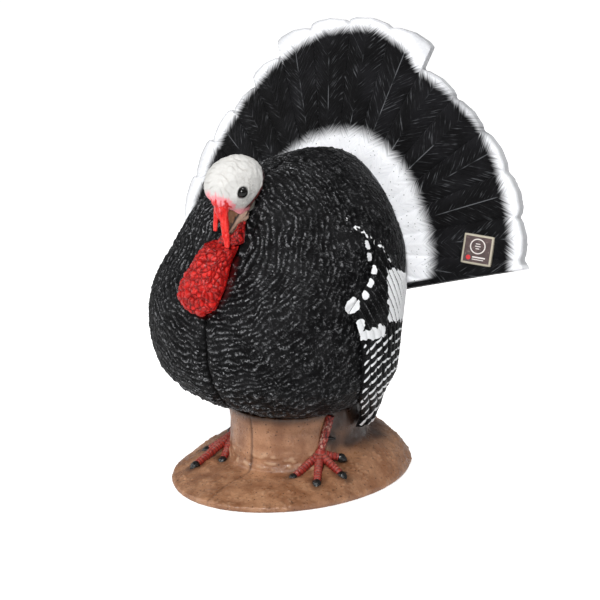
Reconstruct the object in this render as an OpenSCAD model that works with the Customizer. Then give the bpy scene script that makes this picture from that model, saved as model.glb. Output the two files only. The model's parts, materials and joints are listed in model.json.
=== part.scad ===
// Strutting turkey 3-D archery target: a foam torso on a moulded ground base, with a lift-out tail fan
// and a pull-off head. The foam castings meet at the middle plane, x = 0.
// Millimetres. Up is +Z, the bird faces -Y, and its left side is +X. "Forward" below means -Y.
// The origin is the centre of the base's flat underside.

/* [Base] */
// Half the base's length, front to back
base_half_len = 188; // [180:1:200]
// Half the base's width
base_half_wid = 147; // [140:1:155]
// Height of the base's lip at the rim
rim_h = 8; // [6:1:10]
// Height of the mound at the stump's foot, half way along each side
mound_h = 38; // [34:1:42]
// How much higher the mound is behind the stump than at its side
mound_rise = 15; // [10:1:18]
// Half the stump's length, front to back
stump_half_len = 91; // [86:1:94]
// Half the stump's width
stump_half_wid = 79; // [75:1:82]
// How much thicker the stump is behind the legs
stump_flare = 22; // [0:1:26]
// Height of the stump's top, where the belly rests
stump_top = 104; // [100:1:108]

/* [Stake tubes] */
// Inside radius of a stake tube, for a 12.7 mm ground rod
tube_in_r = 6.75; // [6.5:0.05:7.5]
// Wall thickness of a stake tube
tube_wall = 2.5; // [2:0.25:3]
// Length of a stake tube
tube_len = 85; // [70:1:90]
// Distance from the middle of the base to each stake tube
tube_offset = 45; // [35:1:55]

/* [Tail fan] */
// Length of the fan's longest feather, from the point where the quills meet
longest_feather = 322; // [314:1:326]
// Thickness of the fan's foam
fan_thick = 20; // [18:1:24]
// Radius that the fan's front face is swept back by, seen from above
fan_sweep_r = 787; // [700:10:900]
// Lean of the fan, backwards from upright
fan_lean = 14; // [12:0.5:15]
// Depth of the notch between two feather tips
scallop = 8; // [4:1:12]

/* [Head] */
// Radius of the dowel that holds the head
peg_r = 9; // [8:0.5:10]
// Gap round the dowel in its socket
peg_gap = 0.3; // [0.2:0.05:0.5]
// Radius of an eye
eye_r = 7.5; // [6.5:0.25:8]

/* [Hidden] */
$fn = 48;

far = 400;            // longer than any solid that a cutter has to clear
arc_steps = 32;       // facets round half of a casting
fan_hub = [0, 70, 225];   // where the fan's plane meets the middle plane, at the fan's foot
quill_point = 67;         // height above the hub of the point where the quills would meet
left_edge_slope = 0.345;  // rise of the fan's lower edge for each millimetre outwards, on the left
right_edge_slope = 0.24;  // and on the right, where the fan hangs a little lower
fan_edge_drop = 6;        // how far the lower edge starts below the hub
right_corner = -90;       // angle of the fan's right corner from upright, about the quill point
left_corner = 83;
slot_gap = 1;             // between the fan and the torso round it

tongue = [112, 12, 95];   // width, thickness and depth of the fan's tongue below the fan
tongue_up = 80;           // how far the tongue runs up inside the fan
socket_wall = 3;
socket_gap = 0.3;

neck_seat = [0, -100.5, 398]; // where the dowel's axis meets the face that the head seats on
neck_lift = 27.3;             // the dowel's axis points forwards and this far above level
peg_in_head = 42;
peg_in_torso = 60;

wattle_gap = 1.5;         // between the wattle and the chest behind it

// ---- Outlines that the solids share. Each row is
// [height, forward reach, rearward reach, half width, forward position of the widest point].

torso_rows = [
    [stump_top, 92, 90, 82, 5], [118, 124, 106, 112, 22], [135, 154, 112, 138, 36],
    [165, 179, 114, 160, 46], [214, 192, 116, 168, 50], [255, 193, 135, 167, 48],
    [287, 178, 160, 161, 41], [321, 148, 170, 150, 27], [347, 132, 146, 143, 12],
    [373, 119, 137, 126, -2], [394, 107, 134, 103, -13], [412, 92, 127, 78, -21],
    [424, 76, 115, 56, -27], [434, 58, 96, 36, -28], [441, 22, 60, 12, -20]
];
head_rows = [
    [352, 153, -112, 17, 134], [366, 142, -112, 15, 129], [380, 137, -109, 14, 125],
    [390, 138, -104, 15, 123], [398, 146, -100, 18, 124], [405, 155, -97, 23.5, 126],
    [413, 165, -92, 29, 128], [424, 171, -83, 33, 127], [436, 171, -79, 33.5, 125],
    [448, 165, -84, 30.5, 125], [458, 155, -93, 23, 124], [465, 142, -107, 12, 124],
    [468, 131, -119, 3, 125]
];
// Height, forward edge and rear edge of the wing, both as distances forward
wing_rows = [
    [74, -20, -58], [95, -8, -68], [122, 22, -78], [140, 48, -84], [158, 62, -88],
    [199, 73, -92], [217, 74, -86], [236, 78, -77], [257, 82, -70], [272, 90, -67],
    [280, 91, -68], [288, 74, -62], [296, 59, -48], [305, 46, -28], [317, 34, -14],
    [335, 22, -4], [352, 12, 7]
];
// Height, half width and depth of the wattle
wattle_rows = [
    [266, 6, 7], [270, 16, 16], [281, 29, 29], [296, 39, 37], [313, 36, 44], [334, 30, 46],
    [344, 27, 42], [352, 24, 36]
];

function row(t, i) = t[max(0, min(len(t) - 1, i))];
function row_at(t, z) = min(len(t) - 2, max([0, for (i = [0 : len(t) - 1]) if (t[i][0] <= z) i]));
function spline(a, b, c, d, u) =
    0.5 * (2 * b + (c - a) * u + (2 * a - 5 * b + 4 * c - d) * u * u + (3 * b - a - 3 * c + d) * u * u * u);
// Column c of table t at height z, as a smooth curve through the table's rows
function curve(t, z, c) =
    let (i = row_at(t, z), u = (z - t[i][0]) / (t[i + 1][0] - t[i][0]))
    spline(row(t, i - 1)[c], row(t, i)[c], row(t, i + 1)[c], row(t, i + 2)[c], u);

function mix(a, b, u) = a + (b - a) * u;
function power(x, n) = sign(x) * pow(abs(x), n);
function ellipse_r(a, along, across) = 1 / sqrt(pow(cos(a) / across, 2) + pow(sin(a) / along, 2));

// A point of a rounded outline at angle a: -90 is its front, 0 its left side and 90 its rear
front_round = 2.15;
rear_round = 2;
function outline_point(t, z, a) =
    let (
        middle = curve(t, z, 4), n = a < 0 ? front_round : rear_round,
        reach = a < 0 ? curve(t, z, 1) - middle : curve(t, z, 2) + middle
    )
    [curve(t, z, 3) * power(cos(a), 2 / n), -middle + reach * power(sin(a), 2 / n), z];

// The torso's half width at a forward distance f and height z
function torso_x(f, z) =
    let (
        middle = curve(torso_rows, z, 4), n = f > middle ? front_round : rear_round,
        reach = f > middle ? curve(torso_rows, z, 1) - middle : curve(torso_rows, z, 2) + middle,
        u = min(1, abs(f - middle) / reach)
    )
    curve(torso_rows, z, 3) * pow(1 - pow(u, n), 1 / n);

// How far forward the chest is at a distance x from the middle and height z
function chest(x, z) =
    let (middle = curve(torso_rows, z, 4), u = abs(x) / curve(torso_rows, z, 3))
    middle + (curve(torso_rows, z, 1) - middle) * pow(1 - pow(u, front_round), 1 / front_round);

// ---- Solids made from a grid of points

// The left half of a casting. Each row of the grid runs from the front of the middle plane, round the
// left side, to its rear, and the rows climb. The flat face lies on the middle plane.
module half_casting(grid) {
    rows = len(grid);
    cols = len(grid[0]);
    points = concat([for (r = grid) each r], [for (r = grid) [0, 0, r[0][2]]]);
    function at(k, m) = k * cols + m;
    function axis(k) = rows * cols + k;
    faces = concat(
        [for (k = [0 : rows - 2], m = [0 : cols - 2]) each [
            [at(k, m), at(k + 1, m), at(k + 1, m + 1)],
            [at(k, m), at(k + 1, m + 1), at(k, m + 1)]]],
        [for (m = [0 : cols - 2]) each [
            [axis(0), at(0, m), at(0, m + 1)],
            [axis(rows - 1), at(rows - 1, m + 1), at(rows - 1, m)]]],
        [for (k = [0 : rows - 2]) each [
            [at(k, 0), axis(k), axis(k + 1)], [at(k, 0), axis(k + 1), at(k + 1, 0)],
            [axis(k), at(k, cols - 1), at(k + 1, cols - 1)], [axis(k), at(k + 1, cols - 1), axis(k + 1)]]]
    );
    polyhedron(points, faces);
}

// A closed solid through rings of points, the first ring at the bottom
module lofted(rings) {
    rows = len(rings);
    cols = len(rings[0]);
    function centre(r) = let (s = [for (p = r) 1] * r) s / cols;
    points = concat([for (r = rings) each r], [centre(rings[0]), centre(rings[rows - 1])]);
    function at(k, m) = k * cols + (m % cols);
    faces = concat(
        [for (k = [0 : rows - 2], m = [0 : cols - 1]) each [
            [at(k, m), at(k + 1, m), at(k + 1, m + 1)],
            [at(k, m), at(k + 1, m + 1), at(k, m + 1)]]],
        [for (m = [0 : cols - 1]) each [
            [rows * cols, at(0, m), at(0, m + 1)],
            [rows * cols + 1, at(rows - 1, m + 1), at(rows - 1, m)]]]
    );
    polyhedron(points, faces);
}

// A tapered round bar from a to b, of radius ra and rb
module bone(a, b, ra, rb) {
    d = b - a;
    translate(a) rotate([0, acos(d[2] / norm(d)), atan2(d[1], d[0])]) cylinder(r1 = ra, r2 = rb, h = norm(d));
}

module to_right() {
    mirror([1, 0, 0]) children();
}

module fan_frame() {
    translate(fan_hub) rotate([-fan_lean, 0, 0]) children();
}

module neck_frame() {
    translate(neck_seat) rotate([90 - neck_lift, 0, 0]) children();
}

// ---- Base

function mound_at(a) = mound_h + mound_rise * sin(a);
// How far the stump's foot is built out behind the legs
function buttress(a) = stump_flare * pow(max(0, sin(a)), 0.6);
function base_profile(a) =
    let (
        rim = ellipse_r(a, base_half_len, base_half_wid),
        foot = ellipse_r(a, stump_half_len, stump_half_wid) + buttress(a), h = mound_at(a),
        top = foot + 4 - 0.6 * buttress(a)
    )
    concat(
        [[rim - 2, 0], [rim, 3]],
        [for (t = [0 : 0.2 : 1]) [mix(rim - 1, foot + 9, t), mix(rim_h, h, 1 - pow(1 - t, 2))]],
        [[foot + 3, h + 4], [foot, h + 13], [foot, 80], [top, stump_top]]
    );

module base_casting() {
    half_casting([for (k = [0 : len(base_profile(0)) - 1]) [for (m = [0 : arc_steps])
        let (a = -90 + 180 * m / arc_steps, p = base_profile(a)[k])
        [m == 0 || m == arc_steps ? 0 : p[0] * cos(a), p[0] * sin(a), p[1]]]]);
}

module tube_holes() {
    for (side = [-1, 1]) translate([0, side * tube_offset, -1]) cylinder(r = tube_in_r + tube_wall, h = tube_len + 1);
}

module base_half(foot) {
    color("sienna") difference() {
        base_casting();
        tube_holes();
        leg(foot);
        claws(foot);
    }
}

module stake_tube(y) {
    color("gainsboro") translate([0, y, 0]) difference() {
        cylinder(r = tube_in_r + tube_wall, h = tube_len);
        translate([0, 0, -1]) cylinder(r = tube_in_r, h = tube_len + 2);
    }
}

// ---- Legs

ankle = [72, -35, 48];
shank_top = [80, -22, 100];
shank_r = 5.4;
// Where each toe's skin ends, then its claw's length
toes = [[[62, -76, 26], 13], [[95, -72, 24], 14], [[108, -38, 28], 14], [[91, -18, 42], 8]];
// The right foot, set down further forwards, as if it were on the left
right_toes = [[[59, -77, 25], 13], [[80, -108, 22], 14], [[98, -58, 25], 12], [[89, -19, 42], 8]];
toe_r = 4.8;
claw_tip_r = 1.5;
spur = [[76, -28, 69], [84, -16, 66]];

module leg(foot) {
    color("indianred") {
        translate(ankle) sphere(r = 8);
        bone(ankle, shank_top, shank_r, shank_r);
        for (t = foot) bone(ankle, t[0], 6, toe_r);
    }
}

module claws(foot) {
    color("dimgray") {
        for (t = foot)
            let (out = (t[0] - ankle) / norm(t[0] - ankle)) bone(t[0], t[0] + out * t[1], toe_r, claw_tip_r);
        difference() {
            bone(spur[0], spur[1], 4, claw_tip_r);
            bone(ankle, shank_top, shank_r, shank_r);
        }
    }
}

// ---- Torso

torso_levels = 28;
module torso_casting() {
    low = torso_rows[0][0];
    high = torso_rows[len(torso_rows) - 1][0];
    half_casting([for (k = [0 : torso_levels])
        let (u = k / torso_levels, z = mix(low, high, sin(90 * u) * 0.35 + u * 0.65))
        [for (m = [0 : arc_steps])
            let (a = -90 + 180 * m / arc_steps, p = outline_point(torso_rows, z, a))
            [m == 0 || m == arc_steps ? 0 : p[0], p[1], z]]]);
}

// The room for the fan: all that lies behind the fan's front face and above its lower edge
module fan_room(slope) {
    edge = slope * far;
    fan_frame() intersection() {
        translate([0, far, 0]) rotate([90, 0, 0]) linear_extrude(2 * far)
            polygon([
                [0, -fan_edge_drop - slot_gap], [far, edge - fan_edge_drop - slot_gap], [far, 2 * far],
                [-far, 2 * far], [-far, edge - fan_edge_drop - slot_gap]]);
        translate([0, fan_sweep_r - fan_thick / 2, -far])
            cylinder(r = fan_sweep_r + slot_gap, h = 3 * far, $fn = 200);
    }
}

socket_size = [
    tongue[0] + 2 * (socket_gap + socket_wall), tongue[1] + 2 * (socket_gap + socket_wall),
    tongue[2] + 2 + socket_wall
];
socket_top = -fan_edge_drop - slot_gap;

module socket_block(size, top) {
    translate([-size[0] / 2, -size[1] / 2, top - size[2]]) cube(size);
}

// The flat that the head seats on, cut into the top of the chest
neck_half_w = 27;
module neck_room() {
    neck_frame() translate([-neck_half_w, -70, 0]) cube([2 * neck_half_w, 140, 90]);
}

module neck_hole() {
    neck_frame() translate([0, 0, -peg_in_torso - 4])
        cylinder(r = peg_r + peg_gap + socket_wall, h = peg_in_torso + 5);
}

module torso_half(slope) {
    color("dimgray") difference() {
        torso_casting();
        fan_room(slope);
        fan_frame() socket_block([socket_size[0], socket_size[1], socket_size[2] + 60], socket_top + 60);
        neck_room();
        neck_hole();
    }
}

// ---- Wings: the left one, a shell that lies on the flank, with its flight feathers drooping to the base

wing_thick = 8;
wing_clear = 2;
wing_droop_z = 140;
wing_foot_x = 90;
wing_levels = 18;
wing_cols = 12;
function wing_x(f, z) =
    let (
        body = z < torso_rows[0][0] ? 0 : torso_x(f, z) + wing_clear,
        low = wing_rows[0][0],
        droop = mix(wing_foot_x, torso_x(f, wing_droop_z) + wing_clear, (z - low) / (wing_droop_z - low))
    )
    z > wing_droop_z ? body : max(body, droop);

module wing() {
    low = wing_rows[0][0];
    high = wing_rows[len(wing_rows) - 1][0];
    color("slategray") lofted([for (k = [0 : wing_levels])
        let (
            z = mix(low, high, k / wing_levels), front = curve(wing_rows, z, 1), rear = curve(wing_rows, z, 2),
            inner = [for (j = [wing_cols : -1 : 0])
                let (f = mix(front, rear, j / wing_cols)) [wing_x(f, z), -f, z]],
            outer = [for (j = [0 : wing_cols])
                let (u = j / wing_cols, f = mix(front, rear, u), t = 2 + (wing_thick - 2) * pow(sin(180 * u), 0.5))
                [wing_x(f, z) + t, -f, z]]
        )
        concat(outer, inner)]);
}

// ---- Tail fan

// Each feather's length as a part of the longest, from the bird's right to its left
feather_parts = [0.92, 0.898, 0.87, 0.845, 0.892, 0.966, 0.985, 1, 1, 0.895, 0.886, 0.892, 0.892, 0.88];
feathers = len(feather_parts);
feather_step = (left_corner - right_corner) / feathers;
function feather_r(i, t) = feather_parts[i] * longest_feather - scallop * (1 - sqrt(1 - pow(2 * t - 1, 2)));
function fan_corner(i, slope) =
    let (r = feather_r(i, 0.5) - 3) [r, slope * r - fan_edge_drop];

module fan_outline() {
    left = fan_corner(feathers - 1, left_edge_slope);
    right = fan_corner(0, right_edge_slope);
    polygon(concat(
        [for (i = [0 : feathers - 1], t = [0.02, 0.15, 0.5, 0.85, 0.98])
            let (a = right_corner + feather_step * (i + t), r = feather_r(i, t))
            [r * sin(a), quill_point + r * cos(a)]],
        [left, [0, -fan_edge_drop], [-right[0], right[1]]]));
}

// A curved sheet that follows the fan's front face, from "out" in front of it to "in" behind it
module fan_sheet(out, in) {
    translate([0, fan_sweep_r - fan_thick / 2, -far]) difference() {
        cylinder(r = fan_sweep_r + out, h = 3 * far, $fn = 200);
        translate([0, 0, -1]) cylinder(r = fan_sweep_r - in, h = 3 * far + 2, $fn = 200);
    }
}

module tail_fan() {
    color("darkslategray") fan_frame() difference() {
        intersection() {
            translate([0, far / 2, 0]) rotate([90, 0, 0]) linear_extrude(far) fan_outline();
            fan_sheet(0, fan_thick);
        }
        socket_block([tongue[0], tongue[1], tongue_up + 40], tongue_up);
    }
}

module tail_tongue() {
    color("burlywood") fan_frame() socket_block([tongue[0], tongue[1], tongue_up + tongue[2]], tongue_up);
}

module tail_socket() {
    inner = [tongue[0] + 2 * socket_gap, tongue[1] + 2 * socket_gap, socket_size[2]];
    color("gray") fan_frame() difference() {
        socket_block(socket_size, socket_top);
        socket_block(inner, socket_top + socket_wall);
    }
}

patch_at = [220, 106];
patch_size = 41;
patch_thick = 1.2;
module marker_patch() {
    color("rosybrown") fan_frame() intersection() {
        translate([patch_at[0] - patch_size / 2, -far, patch_at[1] - patch_size / 2]) cube([patch_size, 2 * far, patch_size]);
        fan_sheet(patch_thick, 0);
    }
}

// ---- Head

head_levels = 18;
head_cols = 28;
function head_point(z, a) =
    let (p = outline_point(head_rows, z, a <= 90 ? a : 180 - a)) [a <= 90 ? p[0] : -p[0], p[1], z];

eye_at = [28, -146, 427];
module eye_ball() {
    translate(eye_at) sphere(r = eye_r);
}

module head() {
    low = head_rows[0][0];
    high = head_rows[len(head_rows) - 1][0];
    color("gainsboro") difference() {
        lofted([for (k = [0 : head_levels])
            let (z = mix(low, high, k / head_levels))
            [for (m = [0 : head_cols - 1]) head_point(z, -90 + 360 * m / head_cols)]]);
        neck_frame() translate([-far / 2, -far / 2, -far]) cube([far, far, far]);
        neck_frame() cylinder(r = peg_r, h = peg_in_head);
        eye_ball();
        to_right() eye_ball();
        beak_block();
        snood_shape();
    }
}

module neck_peg() {
    color("burlywood") neck_frame() translate([0, 0, -peg_in_torso]) cylinder(r = peg_r, h = peg_in_torso + peg_in_head);
}

module neck_socket() {
    color("gray") neck_frame() difference() {
        translate([0, 0, -peg_in_torso - 4]) cylinder(r = peg_r + peg_gap + socket_wall, h = peg_in_torso + 4);
        translate([0, 0, -peg_in_torso - 1]) cylinder(r = peg_r + peg_gap, h = peg_in_torso + 2);
    }
}

module eye() { color("black") eye_ball(); }

// The whole beak, before the mouth parts it into two
mouth_line = 48;         // the mouth's slope, down from level
mouth_at = [0, -131, 379];
module beak_block() {
    hull() {
        translate([0, -140, 396]) sphere(r = 9.5, $fn = 24);
        for (side = [-1, 1]) translate([side * 12, -119, 391]) sphere(r = 5.5, $fn = 20);
        translate([0, -146, 374]) sphere(r = 6, $fn = 20);
        translate([0, -148, 362]) sphere(r = 2.5, $fn = 16);
    }
    hull() {
        for (side = [-1, 1]) translate([side * 11, -117, 386]) sphere(r = 5, $fn = 20);
        translate([0, -138, 364]) sphere(r = 3, $fn = 16);
    }
}

module above_mouth(gap) {
    translate(mouth_at) rotate([mouth_line, 0, 0]) translate([-far / 2, -far / 2, gap / 2]) cube([far, far, far]);
}

module beak_upper() {
    color("peru") difference() {
        intersection() {
            beak_block();
            above_mouth(0.8);
        }
        snood_shape();
    }
}

module beak_lower() {
    color("tan") difference() {
        beak_block();
        above_mouth(-0.8);
        snood_shape();
    }
}

snood_path = [[1, -158, 416], [5, -157, 400], [9, -158, 384], [12, -160, 369], [16, -162, 357]];
snood_r = [8, 6.5, 5.5, 5, 3.5];
module snood_shape() {
    for (i = [0 : len(snood_path) - 1]) translate(snood_path[i]) sphere(r = snood_r[i] * 1.06);
    for (i = [0 : len(snood_path) - 2])
        bone(snood_path[i], snood_path[i + 1], snood_r[i], snood_r[i + 1]);
    bone([-5, -157, 404], [-7, -158, 372], 4, 3);
}

module snood() { color("red") snood_shape(); }

wattle_levels = 14;
wattle_cols = 22;
wattle_shift = -5;
module wattle() {
    low = wattle_rows[0][0];
    high = wattle_rows[len(wattle_rows) - 1][0];
    color("crimson") lofted([for (k = [0 : wattle_levels])
        let (z = mix(low, high, k / wattle_levels), half = curve(wattle_rows, z, 1), deep = curve(wattle_rows, z, 2))
        [for (m = [0 : wattle_cols - 1])
            let (a = -90 + 360 * m / wattle_cols, x = wattle_shift + half * power(cos(a), 0.8))
            [x, -chest(x, z) - wattle_gap - deep / 2 * (1 - power(sin(a), 0.8)), z]]]);
}

base_half(toes);  // base_left
to_right() base_half(right_toes);  // base_right
torso_half(left_edge_slope);  // torso_left
to_right() torso_half(right_edge_slope);  // torso_right
wing();  // wing_left
to_right() wing();  // wing_right
leg(toes);  // leg_left
to_right() leg(right_toes);  // leg_right
claws(toes);  // claws_left
to_right() claws(right_toes);  // claws_right
stake_tube(-tube_offset);  // stake_tube_front
stake_tube(tube_offset);  // stake_tube_rear
tail_socket();
neck_socket();
tail_fan();
tail_tongue();
marker_patch();
head();
neck_peg();
eye();  // eye_left
to_right() eye();  // eye_right
beak_upper();
beak_lower();
snood();
wattle();
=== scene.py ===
"""The looks of a strutting turkey target, a foam casting on a ground-shaped base.

Metres in the row frame: up is +Z, the bird faces -Y and its left side is +X. Reliefs, spacings and the points
that they start from are in millimetres, because every skin below is worked as arrays of millimetres.
"""

import json
from math import atan2, cos, pi, radians, sin

import bmesh
import bpy
import numpy as np
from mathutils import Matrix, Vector
from mathutils.kdtree import KDTree


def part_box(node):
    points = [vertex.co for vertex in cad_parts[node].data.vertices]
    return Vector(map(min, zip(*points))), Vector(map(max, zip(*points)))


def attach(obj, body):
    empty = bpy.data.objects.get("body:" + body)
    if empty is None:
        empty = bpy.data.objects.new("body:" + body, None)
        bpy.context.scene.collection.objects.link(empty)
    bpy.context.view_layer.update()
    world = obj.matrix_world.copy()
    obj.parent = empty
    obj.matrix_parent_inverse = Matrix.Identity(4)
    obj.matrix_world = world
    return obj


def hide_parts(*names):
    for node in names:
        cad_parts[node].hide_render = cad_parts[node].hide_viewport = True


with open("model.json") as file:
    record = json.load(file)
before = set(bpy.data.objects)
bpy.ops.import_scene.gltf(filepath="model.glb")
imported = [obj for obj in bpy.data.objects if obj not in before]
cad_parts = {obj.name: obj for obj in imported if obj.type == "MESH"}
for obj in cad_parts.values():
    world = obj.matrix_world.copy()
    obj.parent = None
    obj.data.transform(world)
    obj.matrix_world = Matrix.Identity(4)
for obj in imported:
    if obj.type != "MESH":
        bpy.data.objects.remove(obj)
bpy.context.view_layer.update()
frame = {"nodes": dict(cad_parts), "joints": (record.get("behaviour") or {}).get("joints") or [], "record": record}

MM = 0.001
BODY_OF = {
    node: body
    for body, nodes in frame["record"]["behaviour"]["bodies"].items()
    for node in nodes
}
JOINT_AXIS = {joint["name"]: np.array(joint["axis"], float) for joint in frame["joints"]}

# ------------------------------------------------------------
# Layout in millimetres


def node_box(node):
    low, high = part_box(node)
    return np.array(low) / MM, np.array(high) / MM


STUMP_TOP = node_box("base_left")[1][2]
MOUTH_LINE = -321  # where the beak's colour changes, as a distance back and down from the origin
EYE_LOW, EYE_HIGH = node_box("eye_left")
EYE_AT = (EYE_LOW + EYE_HIGH) / 2
EYE_R = (EYE_HIGH[0] - EYE_LOW[0]) / 2
BROW = np.array([0.0, -160.0, 424.0])  # the middle of the forehead's wrinkles
NECK_SEAT = np.array([0.0, -100.5, 398.0])  # the mouth of the neck socket
CHEST = np.array([0.0, -170.0, 366.0])  # where the breast's rows of feathers spread from
ROW_STEP = 7.6
ROWS = 60  # rows that the row attribute's 0 to 1 stands for
VANE_STEP = 11.5  # between the wing's slanting upper feathers
COLUMN_STEP = 12.5  # between the wing's barred feathers
BAR_STEP = 7.8  # between their white bars
BAR_SLANT = radians(49)
BEAD = 8.0  # spacing of the wattle's beads on the neck, and of its lobes below
LOBE = 10.6
ANKLE = np.array([72.0, -35.0, 48.0])  # of the left leg
SEAM_HALF = 2.3  # half the width of the joint line between left and right castings

VIEW_AZIMUTH = radians(37)  # of the camera, from straight in front towards the bird's left
VIEW_RISE = radians(16.04)

FAN_UP = JOINT_AXIS["tail_lift"]
FAN_LEAN = atan2(FAN_UP[1], FAN_UP[2])
FAN_HUB = np.array([0.0, 70.0, 225.0])  # the foot of the fan, on its middle plane
QUILL_POINT = 67  # height above the hub of the point where the quills would meet
FEATHERS = 14
RIGHT_CORNER = radians(-90)  # the fan's lowest feathers, as angles from upright
LEFT_CORNER = radians(83)
FEATHER_STEP = (LEFT_CORNER - RIGHT_CORNER) / FEATHERS
FAN_THICK = 20
FAN_SWEEP = 787  # radius that the fan is bent to, round the bird
LEFT_SLOPE = 0.345  # rise of the fan's lower edge for each millimetre outwards
RIGHT_SLOPE = 0.24
BLACK_EDGE = (  # angle from upright in degrees, and how far out the fan's black reaches there
    (-96, 283), (-85, 272), (-75, 262), (-55, 259), (-35, 271), (-10, 298),
    (4, 308), (15, 296), (20, 279), (45, 280), (64, 269), (85, 264),
)
BAND_EDGE = ((-90, 150), (-34, 156), (-13, 163), (10, 173), (34, 167), (60, 159), (90, 163))
PATCH_AT = np.array([220.0, 106.0])  # the marker's middle, across and up in the fan's own frame
PATCH_SIZE = 41

# ------------------------------------------------------------
# Numbers that look random, the same at every run

rng = np.random.default_rng(20)
SHUFFLE = rng.permutation(256)
SLOPES = rng.normal(size=(256, 3))
SLOPES /= np.linalg.norm(SLOPES, axis=1)[:, None]
JITTER = rng.random((256, 3))


def lattice_hash(cell):
    first = SHUFFLE[(cell[:, 0] & 255)]
    second = SHUFFLE[(first + cell[:, 1]) & 255]
    return SHUFFLE[(second + cell[:, 2]) & 255]


def noise(points, size, seed=0):
    """Smooth noise of about -1 to 1, with lumps of that size."""
    q = points / size + 31.7 * seed
    cell = np.floor(q).astype(int)
    f = q - cell
    ease = f * f * f * (f * (f * 6 - 15) + 10)
    total = np.zeros(len(q))
    for corner in np.ndindex(2, 2, 2):
        corner = np.array(corner)
        share = np.prod(np.where(corner, ease, 1 - ease), axis=1)
        total += share * np.einsum("ij,ij->i", SLOPES[lattice_hash(cell + corner)], f - corner)
    return total * 1.7


def cells(points, size, seed=0):
    """Distances to the two nearest of a scatter of points about that far apart, as parts of size."""
    q = points / size + 19.3 * seed
    cell = np.floor(q).astype(int)
    near = np.full(len(q), 9.0)
    second = np.full(len(q), 9.0)
    for step in np.ndindex(3, 3, 3):
        there = cell + np.array(step) - 1
        gap = np.linalg.norm(there + JITTER[lattice_hash(there)] - q, axis=1)
        second = np.minimum(second, np.maximum(near, gap))
        near = np.minimum(near, gap)
    return near, second


def domes(points, size, seed):
    """Rounded beads: how high up its bead each point is, 0 to 1, and how far from the gap to the next."""
    near, second = cells(points, size, seed)
    gap = second - near
    return np.sqrt(unit(gap / 0.6)), gap


def ramp(value, start, end):
    """0 before start, 1 after end, smooth between."""
    t = np.clip((value - start) / (end - start), 0, 1)
    return t * t * (3 - 2 * t)


def unit(value):
    return np.clip(value, 0, 1)


def bell(value, half):
    return np.exp(-((value / half) ** 2))


def wrapped(value):
    """The fraction of a value, from -0.5 to 0.5."""
    return value - np.floor(value) - 0.5


def join(share, half):
    """1 where a wrapped value jumps, such as where two feathers meet."""
    return bell(np.abs(share) - 0.5, half)


def to_fan(points):
    """Row-frame points as (out to the bird's left, back through the fan, up the fan)."""
    p = points - FAN_HUB
    c, s = cos(FAN_LEAN), sin(FAN_LEAN)
    return np.stack([p[:, 0], p[:, 1] * c - p[:, 2] * s, p[:, 1] * s + p[:, 2] * c], 1)


def fan_face(out):
    """How far back the fan's front face is, at a distance out from its middle."""
    return FAN_SWEEP - FAN_THICK / 2 - np.sqrt(FAN_SWEEP**2 - np.minimum(np.abs(out), 600) ** 2)


# ------------------------------------------------------------
# Meshes


def raw_points(data):
    """A mesh's points as Blender keeps them, in metres."""
    co = np.empty(len(data.vertices) * 3, np.float32)
    data.vertices.foreach_get("co", co)
    return co.reshape(-1, 3)


def cad_arrays(nodes):
    """The points, in millimetres, and triangles of some CAD nodes."""
    points, triangles, start = [], [], 0
    for node in nodes:
        data = frame["nodes"][node].data
        data.calc_loop_triangles()
        tri = np.empty(len(data.loop_triangles) * 3, np.int32)
        data.loop_triangles.foreach_get("vertices", tri)
        points.append(raw_points(data) / MM)
        triangles.append(tri.reshape(-1, 3) + start)
        start += len(points[-1])
    return np.concatenate(points).astype(float), np.concatenate(triangles)


def add_object(name, data):
    obj = bpy.data.objects.new(name, data)
    bpy.context.scene.collection.objects.link(obj)
    return obj


def new_object(name, points, faces):
    data = bpy.data.meshes.new(name)
    data.from_pydata((points * MM).tolist(), [], [list(map(int, f)) for f in faces])
    welded = bmesh.new()
    welded.from_mesh(data)
    bmesh.ops.remove_doubles(welded, verts=welded.verts, dist=0.002 * MM)
    welded.to_mesh(data)
    welded.free()
    return add_object(name, data)


def apply_modifiers(obj):
    graph = bpy.context.evaluated_depsgraph_get()
    graph.update()
    data = bpy.data.meshes.new_from_object(obj.evaluated_get(graph))
    obj.modifiers.clear()
    obj.data = data


class Skin:
    """An evenly meshed, lightly rounded copy of CAD nodes that stands for them, worked as arrays."""

    def __init__(self, name, nodes, voxel, rounds, extra=()):
        self.nodes = nodes
        points, faces = cad_arrays(nodes)
        for more_points, more_faces in extra:
            faces = np.concatenate([faces, more_faces + len(points)])
            points = np.concatenate([points, more_points])
        self.obj = new_object(name, points, faces)
        even = self.obj.modifiers.new("even", "REMESH")
        even.mode = "VOXEL"
        even.voxel_size = voxel * MM
        if rounds:
            smooth = self.obj.modifiers.new("round", "SMOOTH")
            smooth.factor = 0.5
            smooth.iterations = rounds
        apply_modifiers(self.obj)
        self.p = raw_points(self.obj.data).astype(float) / MM
        self.fields = {}
        self.find_normals()

    def find_normals(self):
        n = np.empty(len(self.p) * 3, np.float32)
        self.obj.data.vertex_normals.foreach_get("vector", n)
        self.n = n.reshape(-1, 3).astype(float)

    def push(self, height):
        """Moves each point out along its normal, by millimetres."""
        self.p += self.n * height[:, None]

    def settle(self):
        """Writes the points back, so that the normals are those of the moved surface."""
        self.obj.data.vertices.foreach_set("co", (self.p * MM).astype(np.float32).ravel())
        self.obj.data.update()
        self.find_normals()

    def write(self):
        """Puts the points and the fields into the mesh, the fields as attributes that materials read."""
        self.settle()
        for name, values in self.fields.items():
            field = self.obj.data.attributes.new(name, "FLOAT", "POINT")
            field.data.foreach_set("value", unit(values).astype(np.float32))

    def done(self, material):
        self.write()
        dress(self.obj, material, self.nodes)


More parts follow.
